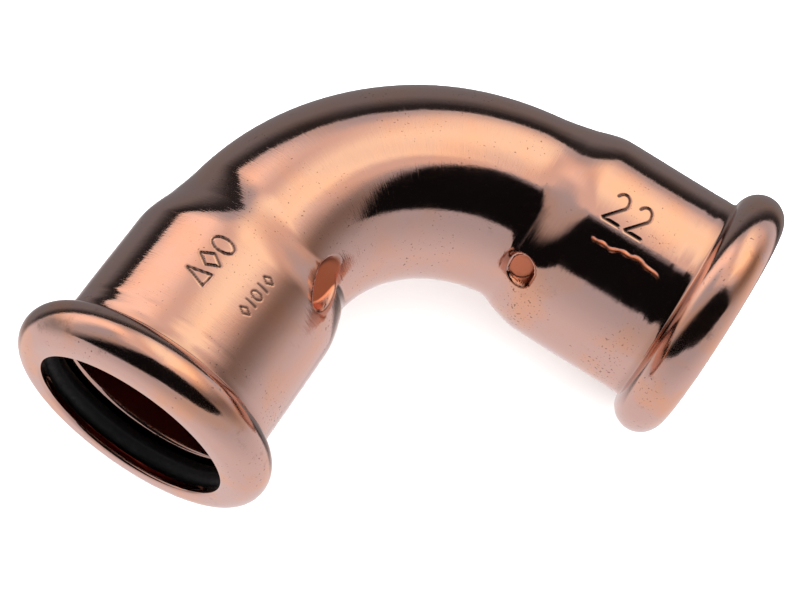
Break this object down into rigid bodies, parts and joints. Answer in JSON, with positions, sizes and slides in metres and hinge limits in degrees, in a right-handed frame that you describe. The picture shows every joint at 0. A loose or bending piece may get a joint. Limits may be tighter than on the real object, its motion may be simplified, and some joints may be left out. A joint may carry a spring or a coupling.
{
  "type": "press-fit pipe elbow",
  "caption": "Right-angle copper press-fit elbow: a bent tube with a widened socket, rolled bead, rubber seal and pressed pipe stop at each end.",
  "frame": {"origin": "centre of socket A's mouth, at the turned-in lip", "axes": "-Y points out of socket A along its axis, +X points out of socket B along its axis, +Z is normal to the plane of the bend"},
  "size_m": [0.063, 0.063, 0.0306],
  "materials": {
    "polished_copper": "polished",
    "seal_rubber": "satin"
  },
  "bodies": {
    "root": {"copper_elbow_body": "polished_copper", "socket_a_o_ring": "seal_rubber", "socket_b_o_ring": "seal_rubber"}
  },
  "joints": []
}
